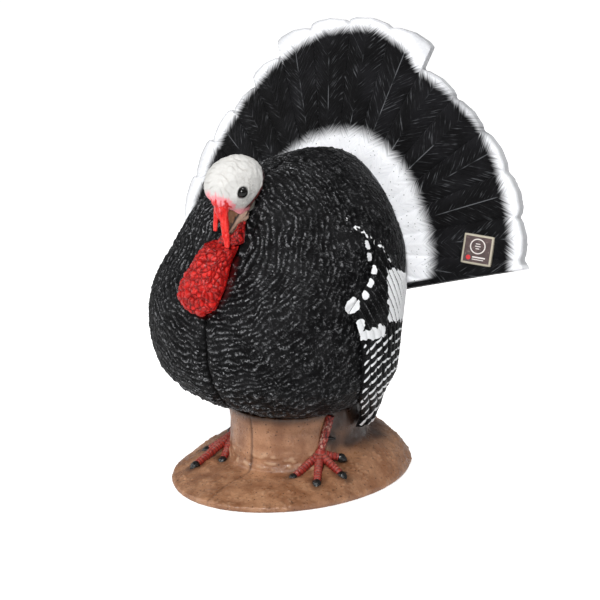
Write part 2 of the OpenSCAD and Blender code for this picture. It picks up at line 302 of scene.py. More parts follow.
def dress(obj, material, nodes):
    """Gives a new piece its material and its body, and hides the nodes that it stands for."""
    obj.data.materials.clear()
    obj.data.materials.append(material)
    obj.data.shade_smooth()
    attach(obj, BODY_OF[nodes[0]])
    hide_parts(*nodes)


def split_at_middle(skin, left_name, right_name, material):
    """Cuts a skin that covers a left and a right casting into the two, each closed by a flat at x = 0."""
    skin.write()
    for name, node, side in ((left_name, skin.nodes[0], 1), (right_name, skin.nodes[1], -1)):
        half = bmesh.new()
        half.from_mesh(skin.obj.data)
        bmesh.ops.bisect_plane(
            half,
            geom=half.verts[:] + half.edges[:] + half.faces[:],
            plane_co=(0, 0, 0),
            plane_no=(side, 0, 0),
            clear_inner=True,
        )
        rim = [e for e in half.edges if e.is_boundary]
        bmesh.ops.triangle_fill(half, use_beauty=True, edges=rim, normal=(-side, 0, 0))
        data = bpy.data.meshes.new(name)
        half.to_mesh(data)
        half.free()
        dress(add_object(name, data), material, [node])
    bpy.data.objects.remove(skin.obj)


# ------------------------------------------------------------
# Materials


def srgb(red, green, blue):
    """A colour given as 0 to 255, as the linear values that shaders use."""
    channels = [c / 255 for c in (red, green, blue)]
    linear = [c / 12.92 if c < 0.04045 else ((c + 0.055) / 1.055) ** 2.4 for c in channels]
    return (*linear, 1.0)


class Finish:
    """A procedural material, and short ways to add the nodes that feed its shader. Sizes are millimetres."""

    def __init__(self, name):
        self.material = bpy.data.materials.new(name)
        self.material.use_nodes = True
        self.tree = self.material.node_tree
        self.shader = self.tree.nodes["Principled BSDF"]
        self.place = self.node("ShaderNodeTexCoord").outputs["Object"]

    def node(self, kind, **settings):
        made = self.tree.nodes.new(kind)
        for key, value in settings.items():
            setattr(made, key, value)
        return made

    def feed(self, socket, value):
        if isinstance(value, bpy.types.NodeSocket):
            self.tree.links.new(value, socket)
        else:
            socket.default_value = value

    def math(self, operation, a, b=0.0, c=0.0):
        made = self.node("ShaderNodeMath", operation=operation)
        for socket, value in zip(made.inputs, (a, b, c)):
            self.feed(socket, value)
        return made.outputs[0]

    def times(self, a, b):
        return self.math("MULTIPLY", a, b)

    def plus(self, a, b):
        return self.math("ADD", a, b)

    def minus(self, a, b):
        return self.math("SUBTRACT", a, b)

    def most(self, a, b):
        return self.math("MAXIMUM", a, b)

    def field(self, name):
        return self.node("ShaderNodeAttribute", attribute_name=name).outputs["Fac"]

    def scaled(self, vector, scale):
        made = self.node("ShaderNodeVectorMath", operation="MULTIPLY")
        self.feed(made.inputs[0], vector)
        made.inputs[1].default_value = scale
        return made.outputs[0]

    def joined(self, x, y, z):
        made = self.node("ShaderNodeCombineXYZ")
        for socket, value in zip(made.inputs, (x, y, z)):
            self.feed(socket, value)
        return made.outputs[0]

    def parts(self, vector):
        made = self.node("ShaderNodeSeparateXYZ")
        self.feed(made.inputs[0], vector)
        return made.outputs

    def noise(self, size, detail=3.0, where=None, roughness=0.55):
        made = self.node("ShaderNodeTexNoise")
        self.feed(made.inputs["Vector"], self.place if where is None else where)
        made.inputs["Scale"].default_value = 1 / (size * MM)
        made.inputs["Detail"].default_value = detail
        made.inputs["Roughness"].default_value = roughness
        return made.outputs[0]

    def specks(self, size, where=None):
        made = self.node("ShaderNodeTexVoronoi")
        self.feed(made.inputs["Vector"], self.place if where is None else where)
        made.inputs["Scale"].default_value = 1 / (size * MM)
        return made.outputs["Distance"]

    def ramp(self, value, start, end, low=0.0, high=1.0):
        made = self.node("ShaderNodeMapRange", interpolation_type="SMOOTHSTEP")
        for socket, number in zip(made.inputs, (value, start, end, low, high)):
            self.feed(socket, number)
        return made.outputs[0]

    def cloud(self, size, detail, start, end, low=0.0, high=1.0):
        """Noise of that size, spread to run from low to high."""
        return self.ramp(self.noise(size, detail), start, end, low, high)

    def patchy(self, size, detail, low, high):
        return self.cloud(size, detail, 0.3, 0.7, low, high)

    def mix(self, share, a, b):
        made = self.node("ShaderNodeMix", data_type="RGBA")
        self.feed(made.inputs[0], share)
        self.feed(made.inputs[6], a)
        self.feed(made.inputs[7], b)
        return made.outputs[2]

    def bump(self, height, depth, under=None):
        made = self.node("ShaderNodeBump")
        made.inputs["Distance"].default_value = depth * MM
        self.feed(made.inputs["Height"], height)
        if under is not None:
            self.feed(made.inputs["Normal"], under)
        return made.outputs[0]

    def set(self, **values):
        names = {
            "colour": "Base Color", "rough": "Roughness", "normal": "Normal", "spec": "Specular IOR Level",
            "coat": "Coat Weight", "coat_rough": "Coat Roughness", "metal": "Metallic",
            "soft": "Subsurface Weight", "soft_scale": "Subsurface Scale",
        }
        for key, value in values.items():
            self.feed(self.shader.inputs[names[key]], value)
        return self.material


BLACK_PAINT = srgb(9, 9, 10)
GREY_DRYBRUSH_AND_HIGHLIGHT = srgb(166, 167, 170)
PALE_PAINT = srgb(228, 229, 231)
GROUND_BROWN = srgb(142, 96, 66)
GROUND_DARK = srgb(92, 60, 40)
GROUND_PALE = srgb(182, 134, 100)
DEEP_RED = srgb(58, 4, 4)
SKIN_RED = srgb(206, 26, 26)
BRIGHT_RED = srgb(232, 60, 52)
PINK = srgb(238, 150, 158)
LEG_RED = srgb(146, 42, 34)
HORN_BROWN = srgb(108, 70, 42)
HORN_TAN = srgb(186, 156, 138)


def ground_finish():
    f = Finish("ground_paint")
    mottled = f.mix(f.cloud(28, 5, 0.35, 0.68), GROUND_BROWN, GROUND_PALE)
    grainy = f.mix(f.cloud(2.2, 4, 0.54, 0.76, 0, 0.7), mottled, GROUND_DARK)
    peppered = f.mix(f.ramp(f.specks(8), 0.17, 0.1, 0, 0.75), grainy, srgb(58, 38, 28))
    # painted highlight: the foot's rippled lip and the mound's grains are lighter
    crest_highlight = f.mix(f.times(f.field("crest"), 0.75), peppered, srgb(206, 168, 136))
    shaded = f.mix(f.field("shade"), crest_highlight, srgb(58, 36, 24))
    colour = f.mix(f.field("black"), shaded, BLACK_PAINT)
    colour = f.mix(f.field("seam"), colour, srgb(70, 46, 32))
    fine = f.bump(f.noise(1.3, 4), 0.35)
    normal = f.bump(f.noise(5, 4), 0.5, fine)
    return f.set(colour=colour, rough=f.patchy(9, 3, 0.26, 0.5), normal=normal, spec=0.55)


def row_flecks(f):
    """Adds the nodes of the breast's broken rows: short light flecks along each row's edge, painted highlights
    where the moulded ridges catch the light.
    """
    stray = f.times(f.minus(f.noise(9, 3), 0.5), 2.4)
    row = f.math("MULTIPLY_ADD", f.field("row"), ROWS, stray)
    number = f.math("FLOOR", row)
    part = f.minus(row, number)
    line = f.ramp(f.math("ABSOLUTE", f.minus(part, 0.6)), 0.2, 0.06)
    shift = f.times(number, 0.31)
    moved = f.node("ShaderNodeVectorMath", operation="ADD")
    f.feed(moved.inputs[0], f.place)
    f.feed(moved.inputs[1], f.joined(shift, shift, shift))
    chopped = f.ramp(f.noise(4.0, 3, moved.outputs[0]), 0.53, 0.62)
    bright = f.cloud(7, 3, 0.34, 0.62, 0.25, 1)
    shown = f.times(f.field("rows"), bright)
    return f.times(f.times(line, chopped), shown)


def foam_finish(name):
    """Black paint over moulded feathers. Crests and the breast rows' edges are painted grey, partly as dry-brushed
    wear and partly as painted highlights; white, red and grey are sprayed on.
    """
    f = Finish(name)
    base = f.mix(f.cloud(34, 4, 0.4, 0.7), BLACK_PAINT, srgb(24, 24, 25))
    crest = f.math("POWER", f.field("crest"), 2.0)
    # worn: the crests' grey, dry-brushed wear and painted highlight together
    worn = f.times(crest, f.cloud(2.6, 4, 0.44, 0.62, 0.02, 0.62))
    flecks = row_flecks(f)
    drybrush_and_highlight = f.mix(f.most(worn, flecks), base, GREY_DRYBRUSH_AND_HIGHLIGHT)
    haze = f.times(f.field("haze"), f.cloud(3, 4, 0.2, 0.8))
    greyed = f.mix(haze, drybrush_and_highlight, srgb(150, 153, 157))
    red = f.mix(f.field("red"), greyed, srgb(120, 14, 14))
    edge = f.plus(f.field("white"), f.times(f.minus(f.noise(2.2, 3), 0.5), 0.5))
    painted = f.mix(f.ramp(edge, 0.42, 0.6), red, PALE_PAINT)
    painted = f.mix(f.field("seam"), painted, srgb(5, 5, 5))
    normal = f.bump(flecks, 0.7, f.bump(f.noise(1.1, 5), 0.45, f.bump(f.noise(3.4, 4), 0.6)))
    rough = f.patchy(6, 4, 0.34, 0.54)
    return f.set(colour=painted, rough=rough, normal=normal, spec=0.04)


def fan_frame_nodes(f):
    """Adds the nodes that give the fan's own coordinates: radius, feather number, distance from the shaft."""
    turn = f.node("ShaderNodeMapping", vector_type="TEXTURE")
    f.feed(turn.inputs["Vector"], f.place)
    turn.inputs["Location"].default_value = tuple(FAN_HUB * MM)
    turn.inputs["Rotation"].default_value = (-FAN_LEAN, 0, 0)
    place = f.parts(turn.outputs[0])
    out = f.math("DIVIDE", place[0], MM)
    up = f.minus(f.math("DIVIDE", place[2], MM), QUILL_POINT)
    radius = f.math("SQRT", f.plus(f.times(out, out), f.times(up, up)))
    turned = f.minus(f.math("ARCTAN2", out, up), RIGHT_CORNER)
    steps = f.math("DIVIDE", turned, FEATHER_STEP)
    number = f.math("FLOOR", steps)
    share = f.minus(f.minus(steps, number), 0.5)
    across = f.times(f.times(share, FEATHER_STEP), radius)
    return radius, number, across


def fan_finish():
    """Black feathers with a white band next to the body and a white rim, both streaked along the barbs."""
    f = Finish("fan_paint")
    radius, number, across = fan_frame_nodes(f)
    side = f.math("ABSOLUTE", across)
    barb = f.minus(radius, f.times(side, 1.15))

    def streaks(width, length, detail=2.0):
        where = f.joined(f.times(barb, MM), f.times(across, MM * width / length), f.times(number, 0.37))
        return f.noise(width, detail, where)

    fine = streaks(2.4, 16)
    coarse = streaks(6.5, 26)
    ragged = f.plus(f.times(f.minus(fine, 0.5), 14), f.times(f.minus(coarse, 0.5), 4))
    rim_depth = f.times(f.field("rim"), 60)  # millimetres beyond the black's edge
    rim = f.ramp(f.plus(rim_depth, ragged), 23, 38)
    band_depth = f.times(f.field("band"), 60)
    band = f.ramp(f.plus(band_depth, ragged), 22, 44)
    specks = f.ramp(f.specks(5.5), 0.16, 0.1, 0, 0.8)
    white = f.most(rim, f.times(band, f.minus(1, specks)))
    white = f.times(white, f.minus(1, f.field("black")))

    blackish = f.mix(f.cloud(40, 3, 0.4, 0.7), srgb(14, 14, 15), srgb(24, 24, 26))
    shine = f.times(f.ramp(fine, 0.56, 0.76), f.cloud(17, 4, 0.36, 0.66, 0.12, 1))
    barbed = f.mix(f.times(shine, 0.4), blackish, srgb(128, 130, 134))
    shaft = f.ramp(side, 0.8, 0.3, 0, 0.26)
    shaft = f.times(shaft, f.cloud(46, 3, 0.48, 0.6))
    lined = f.mix(shaft, barbed, srgb(170, 173, 178))
    pale = f.mix(f.ramp(f.field("rim"), 0.72, 0.95), srgb(240, 241, 244), srgb(214, 215, 218))
    pale = f.mix(f.times(f.ramp(fine, 0.5, 0.3), 0.25), pale, srgb(200, 204, 212))
    # painted shade: a grey line along the fan's very edge
    pale = f.mix(f.times(f.field("edge"), 0.6), pale, srgb(150, 151, 154))
    colour = f.mix(white, lined, pale)
    foam = f.bump(f.noise(1.4, 4), 0.35)
    normal = f.bump(f.times(fine, f.minus(1.2, white)), 0.8, foam)
    rough = f.plus(f.patchy(7, 3, 0.38, 0.56), f.times(white, 0.1))
    return f.set(colour=colour, rough=rough, normal=normal, spec=0.04)


def head_finish():
    f = Finish("head_paint")
    # painted shade in the creases: the forehead's wrinkles, between the cheek's pebbles, behind the eye and
    # between the neck's beads
    creased = f.mix(f.field("crease"), srgb(206, 205, 202), srgb(150, 144, 137))
    mottled = f.mix(f.cloud(9, 4, 0.45, 0.75, 0, 0.35), creased, srgb(192, 187, 181))
    blush = f.plus(f.field("blush"), f.times(f.minus(f.noise(7, 4), 0.5), 0.16))
    pink = f.mix(f.ramp(blush, 0.12, 0.5), mottled, PINK)
    face = f.mix(f.ramp(blush, 0.55, 1.0), pink, SKIN_RED)
    streaks = f.ramp(f.noise(3, 4, f.scaled(f.place, (1, 0.6, 0.3))), 0.5, 0.64)
    neck = f.mix(streaks, DEEP_RED, srgb(176, 70, 70))
    # painted shade: the back of the neck darkened to near black
    neck = f.mix(f.field("dark"), neck, srgb(24, 15, 15))
    fleshy = f.mix(f.cloud(7, 3, 0.35, 0.7), srgb(170, 14, 12), srgb(208, 28, 24))
    neck = f.mix(f.field("flesh"), neck, f.mix(f.field("crease"), fleshy, DEEP_RED))
    on_neck = f.plus(f.field("neck"), f.times(f.noise(5, 3), 0.2))
    whole = f.mix(f.ramp(on_neck, 0.45, 0.72), face, neck)
    colour = f.mix(f.field("socket"), whole, srgb(44, 38, 36))
    normal = f.bump(f.noise(0.9, 4), 0.2, f.bump(f.noise(3, 3), 0.45))
    return f.set(colour=colour, rough=f.patchy(5, 3, 0.34, 0.5), normal=normal, spec=0.5)


def flesh_finish(name, deep, light):
    """Glossy red paint, with painted shade in the creases and painted highlights, pinker, on the crests."""
    f = Finish(name)
    body = f.mix(f.cloud(8, 3, 0.35, 0.7), deep, light)
    crest = f.mix(f.times(f.field("crest"), 0.55), body, srgb(240, 84, 76))
    colour = f.mix(f.field("crease"), crest, DEEP_RED)
    normal = f.bump(f.noise(0.8, 3), 0.16, f.bump(f.noise(2.4, 3), 0.25))
    return f.set(colour=colour, rough=f.patchy(4, 3, 0.24, 0.38), normal=normal, spec=0.2,
                 coat=0.1, coat_rough=0.12, soft=0.06, soft_scale=0.004)


def beak_finish(name, body, streak):
    """Horn, streaked along its length, paler behind the mouth line, with painted shade in the mouth line, where
    the two halves meet and in the grooves between ridges.
    """
    f = Finish(name)
    grain = f.noise(2.2, 3, f.scaled(f.place, (1, 0.3, 0.35)))
    colour = f.mix(f.ramp(grain, 0.42, 0.66), body, streak)
    colour = f.mix(f.field("behind"), colour, HORN_TAN)
    colour = f.mix(f.field("crease"), colour, srgb(24, 15, 12))
    normal = f.bump(grain, 0.4, f.bump(f.noise(0.7, 3), 0.12))
    return f.set(colour=colour, rough=f.patchy(3, 2, 0.28, 0.42), normal=normal, spec=0.5)


def leg_finish():
    f = Finish("leg_paint")
    body = f.mix(f.cloud(6, 3, 0.35, 0.7), LEG_RED, srgb(170, 58, 46))
    # painted shade between the scales and in the toes' folds
    creased = f.mix(f.field("crease"), body, srgb(58, 14, 12))
    # paler on the shank's front-facing scales and on the toes' upper faces
    paler_on_facing_sides = f.times(f.field("white"), f.cloud(2.4, 3, 0.42, 0.56))
    colour = f.mix(paler_on_facing_sides, creased, srgb(222, 196, 176))
    normal = f.bump(f.noise(0.8, 3), 0.25)
    return f.set(colour=colour, rough=f.patchy(4, 3, 0.34, 0.5), normal=normal, spec=0.45)


def claw_finish():
    f = Finish("claw_paint")
    colour = f.mix(f.cloud(2.5, 3, 0.5, 0.75, 0, 0.35), srgb(14, 14, 14), srgb(74, 70, 66))
    normal = f.bump(f.noise(1.2, 4), 0.4)
    return f.set(colour=colour, rough=f.patchy(3, 2, 0.26, 0.44), normal=normal, spec=0.55)


def eye_finish():
    f = Finish("eye_gloss")
    iris = f.mix(f.cloud(1.6, 3, 0.4, 0.7), srgb(5, 5, 5), srgb(15, 12, 10))
    return f.set(colour=iris, rough=0.25, spec=0.15, coat=0.4, coat_rough=0.02)


def tube_finish():
    f = Finish("tube_plastic")
    rings = f.noise(1.5, 2, f.scaled(f.place, (0.05, 0.05, 1)))
    colour = f.mix(f.ramp(rings, 0.4, 0.7), srgb(198, 198, 192), srgb(216, 216, 211))
    return f.set(colour=colour, rough=0.42, normal=f.bump(rings, 0.06), spec=0.5)


def wood_finish():
    f = Finish("insert_wood")
    grain = f.noise(2.4, 5, f.scaled(f.place, (1, 0.25, 0.12)))
    colour = f.mix(f.ramp(grain, 0.38, 0.66), srgb(206, 172, 122), srgb(168, 128, 82))
    pores = f.noise(0.6, 2, f.scaled(f.place, (1, 0.3, 0.06)))
    return f.set(colour=colour, rough=0.6, normal=f.bump(grain, 0.15, f.bump(pores, 0.12)), spec=0.35)


def marker_finish():
    """A dark printed field with a pale edge, a ring round three bars, and a red dot beside two rules."""
    f = Finish("marker_print")
    where = f.node("ShaderNodeAttribute", attribute_name="print")
    x, y, _ = f.parts(where.outputs["Vector"])

    def inside(value, middle, half):
        return f.ramp(f.math("ABSOLUTE", f.minus(value, middle)), half + 0.15, half - 0.15)

    def from_point(px, py):
        dx, dy = f.minus(x, px), f.minus(y, py)
        return f.math("SQRT", f.plus(f.times(dx, dx), f.times(dy, dy)))

    def block(px, py, half_w, half_h):
        return f.times(inside(x, px, half_w), inside(y, py, half_h))

    half = PATCH_SIZE / 2
    edge = f.most(f.math("ABSOLUTE", x), f.math("ABSOLUTE", y))
    border = f.ramp(edge, half - 3.4, half - 3.0)
    ring_at = (0, 4.5)
    ring = inside(from_point(*ring_at), 9.6, 0.75)
    bars = block(*ring_at, 3.8, 0.6)
    for rise, wide in ((3.2, 3.0), (-3.2, 2.4)):
        bars = f.most(bars, block(0, ring_at[1] + rise, wide, 0.6))
    rules = f.most(block(3.2, -10.2, 8.6, 0.9), block(2.2, -13.2, 7.6, 0.5))
    pale = f.most(f.most(ring, bars), rules)
    field = f.mix(f.cloud(7, 4, 0.35, 0.7), srgb(70, 54, 54), srgb(92, 73, 71))
    printed = f.mix(pale, field, srgb(226, 220, 216))
    dotted = f.mix(f.ramp(from_point(-10.6, -11.4), 3.3, 2.9), printed, srgb(206, 44, 50))
    framed = f.mix(border, dotted, srgb(178, 170, 152))
    worn = f.mix(f.cloud(3.5, 4, 0.56, 0.72, 0, 0.45), framed, srgb(150, 140, 130))
    grime = f.mix(f.ramp(edge, half - 1.3, half - 0.3, 0, 0.7), worn, srgb(62, 58, 50))
    normal = f.bump(f.noise(0.8, 3), 0.08)
    return f.set(colour=grime, rough=f.patchy(5, 3, 0.32, 0.5), normal=normal, spec=0.5)


# ------------------------------------------------------------
# Torso


def breast_rows(p):
    """Which row of breast feathers a point is in, counted out from the chest, with its fraction."""
    return (np.linalg.norm(p - CHEST, axis=1) + 8.0 * noise(p, 44) + 3.4 * noise(p, 14, 2)) / ROW_STEP


def feather_relief(p):
    """The body's moulded feathers, broken rows round the chest and strokes on the back.

    Returns their height in millimetres, how far each point is a crest, and the rows' share of the relief.
    """
    away = p - CHEST
    d = np.linalg.norm(away, axis=1)
    heading = away / d[:, None]
    row = breast_rows(p)
    number = np.floor(row)
    part = row - number
    broken = np.clip(0.3 + 2.0 * noise(p + number[:, None] * [31, 17, 23], 8, 3), 0, 1.2)
    rows = bell(part - 0.6, 0.16) * broken + 0.25 * ramp(part, 0, 0.6) * (1 - ramp(part, 0.6, 1))

    flow = heading * (140 / 3.4 + d[:, None] / 15)
    strokes = unit(1 - np.abs(noise(flow, 1, 5)) * 3.4) * unit(0.5 + 1.3 * noise(p, 10, 6))
    cross = unit(noise(p * [1, 0.7, 0.7], 4.6, 7) * 1.6 - 0.15)
    scatter = np.maximum(strokes, cross)

    rows_share = np.clip(1.3 - np.abs(p[:, 0]) / 150, 0.4, 1) * (1 - 0.7 * ramp(p[:, 1], -60, 40))
    height = 2.0 * rows * rows_share + 1.5 * scatter * (1 - 0.7 * rows_share)
    return height, unit(height / 1.9), rows_share


def fan_clearance(p):
    """How far in front of the fan a point is, or a large number below the fan's lower edge."""
    q = to_fan(p)
    slope = np.where(q[:, 0] > 0, LEFT_SLOPE, RIGHT_SLOPE)
    gap = fan_face(q[:, 0]) - q[:, 1]
    return np.where(q[:, 2] > slope * np.abs(q[:, 0]) - 14, gap, 99)


def build_torso():
    skin = Skin("torso_whole", ["torso_left", "torso_right"], 1.55, 16)
    p = skin.p.copy()
    x, y, z = p.T
    relief, crest, rows_share = feather_relief(p)
    gap = fan_clearance(p)
    inside = ramp(gap, 1.5, 9)  # 0 at the fan, where the dome ends in a smooth edge
    flat = ramp(z, STUMP_TOP + 1, STUMP_TOP + 9)
    on_chest = ramp(-y, 0, 40)
    lumps = 1.5 * noise(p, 42, 9) + 0.9 * noise(p, 19, 10)
    seam = bell(x, SEAM_HALF) * (0.3 + 0.7 * on_chest)
    height = (relief - 1.0 + lumps * 0.8) * inside * flat - 5.0 * seam - 2.2 * bell(x, 9) * on_chest
    skin.push(np.where(under_head(p), 0, height))

    soften = 1 - 0.55 * ramp(gap, 26, 4)  # the relief fades next to the fan
    off_seam = 1 - bell(x, 5) * on_chest
    near_wattle = distance_to("wattle", p, 16)
    q = to_fan(p)
    rim_spray = ramp(gap, 13, 3) * ramp(q[:, 2], 60, 120)
    skin.fields = {
        # crest and rows: where the grey goes on, dry-brushed wear and painted highlight on the crests, painted
        # highlights along the rows' edges
        "crest": crest * inside * flat * (1 - seam) * soften,
        "haze": rim_spray * 0.8,
        "red": ramp(near_wattle, 7, 1.5) * 0.4,
        "white": np.maximum(tertial_flecks(p), shoulder_white(p, True)),
        "row": breast_rows(p) / ROWS,
        "seam": seam * 0.9,
        "rows": rows_share * inside * flat * off_seam * soften * ramp(noise(p, 19, 13), -0.55, 0.25),
    }
    split_at_middle(skin, "torso_foam_left", "torso_foam_right", foam_finish("body_paint"))


def under_head(p):
    """True on the ring of torso that the neck sits on, and down the bore in it."""
    axis = JOINT_AXIS["head_pull"]
    along = (p - NECK_SEAT) @ axis
    side = np.linalg.norm((p - NECK_SEAT) - along[:, None] * axis, axis=1)
    return (side < 27) & (along < 2.5) & (along > -80)


LEADING_BLOBS = (  # forward, up and slant in degrees, down the wing's edge
    (24, 348, 15), (28, 333, 15), (32, 319, 25), (45, 304, 45), (60, 292, 55),
)


def spot(p, forward, up, half_along, half_up, slant=0.0):
    """1 inside a rounded patch with a ragged edge, seen from the side."""
    df, dz = -p[:, 1] - forward, p[:, 2] - up
    c, s = cos(slant), sin(slant)
    along, over = np.abs(df * c + dz * s) / half_along, np.abs(dz * c - df * s) / half_up
    gap = (along**3 + over**3) ** (1 / 3) + 0.3 * noise(p, 7, 14)
    return ramp(gap, 1.08, 0.88) * ramp(np.abs(p[:, 0]), 95, 105)


def shoulder_white(p, on_torso):
    """White feathers at the wing's leading edge: a chain of blobs, a patch at the elbow and one below."""
    chain = [spot(p, forward, up, 4.2, 6, radians(slant)) for forward, up, slant in LEADING_BLOBS]
    elbow = spot(p, 82, 282, 11.5, 6.2, radians(-30))
    if on_torso:
        return np.maximum.reduce(chain[:2] + [elbow])
    return np.maximum.reduce(chain[2:] + [elbow, spot(p, 79, 256, 7.5, 8.5, radians(20))])


def tertial_flecks(p):
    """White touches on the flank where the wing's upper feathers meet the back, on both sides."""
    forward, z = -p[:, 1], p[:, 2]
    line = 378 - (34 - forward) * 1.28
    off = np.abs(z - line) * 0.62
    spots = unit(noise(p, 5.2, 12) * 2.2)
    along = ramp(forward, -24, -14) * ramp(forward, 40, 30)
    return spots * ramp(off, 6.5, 2.5) * along * (np.abs(p[:, 0]) > 70)


def distance_to(node, p, limit):
    """Distance from each point to a CAD node's nearest vertex, up to a limit, in millimetres."""
    points, triangles = cad_arrays([node])
    spread = np.concatenate([points, points[triangles].mean(1)])
    low, high = spread.min(0) - limit, spread.max(0) + limit
    near = np.flatnonzero(((p > low) & (p < high)).all(1))
    tree = KDTree(len(spread))
    for i, point in enumerate(spread):
        tree.insert(point, i)
    tree.balance()
    out = np.full(len(p), float(limit))
    for i in near:
        out[i] = min(limit, tree.find(p[i])[2])
    return out


# ------------------------------------------------------------
# Wings


def edge_curves(node):
    """Heights, and how far forward the node's front and rear edges are at each."""
    points, _ = cad_arrays([node])
    levels = np.unique(points[:, 2].round(1))
    rows = [-points[np.abs(points[:, 2] - z) < 0.6, 1] for z in levels]
    return levels, np.array([row.max() for row in rows]), np.array([row.min() for row in rows])


def in_view(p):
    """How far right and up points are as the camera sees them, so that bars slant alike round a curve."""
    c, s = cos(VIEW_AZIMUTH), sin(VIEW_AZIMUTH)
    nearer = s * p[:, 0] - c * p[:, 1]
    return c * p[:, 0] + s * p[:, 1], cos(VIEW_RISE) * p[:, 2] - sin(VIEW_RISE) * nearer


def build_wing(side):
    node = "wing_" + side
    sign = 1 if side == "left" else -1
    skin = Skin("wing_foam_" + side, [node], 1.05, 5)
    p = skin.p.copy()
    levels, fronts, rears = edge_curves(node)
    z, forward = p[:, 2], -p[:, 1]
    front, rear = np.interp(z, levels, fronts), np.interp(z, levels, rears)
    slope = np.interp(z, levels, np.gradient(fronts, levels))
    across = unit((front - forward) / np.maximum(front - rear, 1))
    from_front = (front - forward) / np.sqrt(1 + slope**2)
    outer = ramp(skin.n[:, 0] * sign, 0.05, 0.45)
    upper = ramp(z, 236, 250)

    # Upper part: slanting secondaries. Lower part: columns of barred primaries.
    vane = wrapped((forward - 0.42 * z + 2.0 * noise(p, 30, 20)) / VANE_STEP)
    column = from_front / COLUMN_STEP + 0.2 * noise(p, 34, 21)
    feather = wrapped(column)
    upper_relief = 1.3 * (1 - (2 * vane) ** 2) - 0.9 * join(vane, 0.1) + 0.5 * bell(vane, 0.07)
    lower_relief = 1.5 * (1 - (2 * feather) ** 2) - 1.0 * join(feather, 0.09)
    combed = np.stack([forward * 0.9 + z * 0.45, z * 1.1 - forward * 0.5, p[:, 0]], 1)
    barbs = unit(noise(combed, 2.6, 22))
    relief = (upper * upper_relief + (1 - upper) * lower_relief + 0.6 * barbs - 0.9) * outer
    cover, cover_crest, _ = feather_relief(p)
    coverts = ramp(from_front, 9, 2) * ramp(z, 150, 262) * outer
    skin.push(relief * (1 - coverts) + cover * coverts * 0.6)

    # White: the shoulder's blobs, a patch below the elbow, a pale panel behind, and bars on the primaries
    ragged = 4 * noise(p, 7, 24)
    patch = ramp(np.abs(z - 241 + ragged), 9, 6.5) * ramp(np.abs(forward - 57 + ragged), 25, 22)
    level = z - 0.27 * forward + ragged
    panel = ramp(level, 240, 245) * ramp(level, 315, 310) * ramp(forward + 0.27 * z + ragged, 96, 92)
    slat = panel * (1 - 0.95 * join(vane, 0.1))
    across_view, up_view = in_view(p * [sign, 1, 1])
    rise = cos(BAR_SLANT) * up_view - sin(BAR_SLANT) * across_view
    bar = wrapped((rise + 0.8 * noise(p, 16, 25)) / BAR_STEP + 0.12 * np.floor(column))
    flecks = ramp(np.abs(bar), 0.2, 0.12) * ramp(np.abs(feather), 0.49, 0.4)
    flecks *= unit(1.15 + 2.2 * noise(p, 9, 26)) * ramp(z, 238, 231) * ramp(across, 0.0, 0.03)
    white = np.maximum.reduce([patch, slat, flecks, tertial_flecks(p), shoulder_white(p, False)]) * outer
    # crest: grey on the feathers' crests, dry-brushed wear and painted highlight together
    crest = unit(0.75 * barbs + bell(vane, 0.05) * upper * 0.8) * outer
    skin.fields = {"white": white, "crest": crest * (1 - coverts) + cover_crest * coverts}
    skin.done(WING_PAINT)


# ------------------------------------------------------------
# Fan


def build_fan():
    skin = Skin("tail_fan_foam", ["tail_fan"], 1.75, 3)
    p = skin.p.copy()
    q = to_fan(p)
    out, back, up = q.T
    from_quills = np.hypot(out, up - QUILL_POINT)
    angle = np.arctan2(out, up - QUILL_POINT)
    cad, _ = cad_arrays(["tail_fan"])
    cad_fan = to_fan(cad)
    cad_r = np.hypot(cad_fan[:, 0], cad_fan[:, 2] - QUILL_POINT)
    cad_angle = np.arctan2(cad_fan[:, 0], cad_fan[:, 2] - QUILL_POINT)
    tips = cad_r > 0.8 * cad_r.max()
    order = np.argsort(cad_angle[tips])
    tip_r = np.interp(angle, cad_angle[tips][order], cad_r[tips][order])
    from_tip = tip_r - from_quills
    slope = np.where(out > 0, LEFT_SLOPE, RIGHT_SLOPE)
    from_edge = (up - slope * np.abs(out)) / np.hypot(1, slope) + 6

    # Each face keeps to its side of the middle, and the feathers thin towards their tips
    front = fan_face(out)
    depth = (back - front) / FAN_THICK
    thinner = 0.42 * ramp(from_tip, 62, 4) * ramp(from_edge, 0, 20)
    c, s = cos(FAN_LEAN), sin(FAN_LEAN)
    backwards = np.array([0, c, -s])
    skin.p -= backwards * (unit(depth) * FAN_THICK * thinner)[:, None]

    share = wrapped((angle - RIGHT_CORNER) / FEATHER_STEP)
    across = share * FEATHER_STEP * from_quills
    half = FEATHER_STEP * from_quills / 2
    over = share * np.sign(angle)  # the middle feathers lie over their neighbours
    crown = 1 - (2 * share) ** 2
    groove = bell(np.abs(across) - half, 1.7)
    shaft = bell(across + 1.5 * noise(p, 45, 30), 1.3)
    wave = noise(p, 26, 31)
    relief = 1.1 * crown - 1.5 * over - 1.9 * groove + 0.75 * shaft + 0.7 * wave - 1.8
    barb = (from_quills - 1.1 * np.abs(across)) / 6.4 + 0.9 * noise(p, 18, 32)
    relief += 0.55 * bell(wrapped(barb), 0.2)
    facing = np.abs(skin.n @ backwards)
    shown = ramp(from_quills, 108, 132) * ramp(facing, 0.5, 0.85) * ramp(from_tip, 0, 5)
    skin.push(np.minimum(relief, 0) * shown)

    degrees = np.degrees(angle)
    past_black = from_quills - np.interp(degrees, *zip(*BLACK_EDGE))
    in_band = np.interp(degrees, *zip(*BAND_EDGE)) - from_quills
    in_band = np.where(depth > 0.5, np.minimum(in_band, from_quills - 104), in_band)  # a ring on the back
    skin.fields = {
        "rim": 0.5 + past_black / 60,
        "band": 0.5 + in_band / 60,
        # edge: painted shade along the fan's outer edge
        "edge": ramp(from_tip, 4, 0.5) * ramp(from_edge, 4, 8),
        "black": ramp(from_edge, 9, 6) * ramp(past_black, 0, -8),
    }
    skin.done(fan_finish())


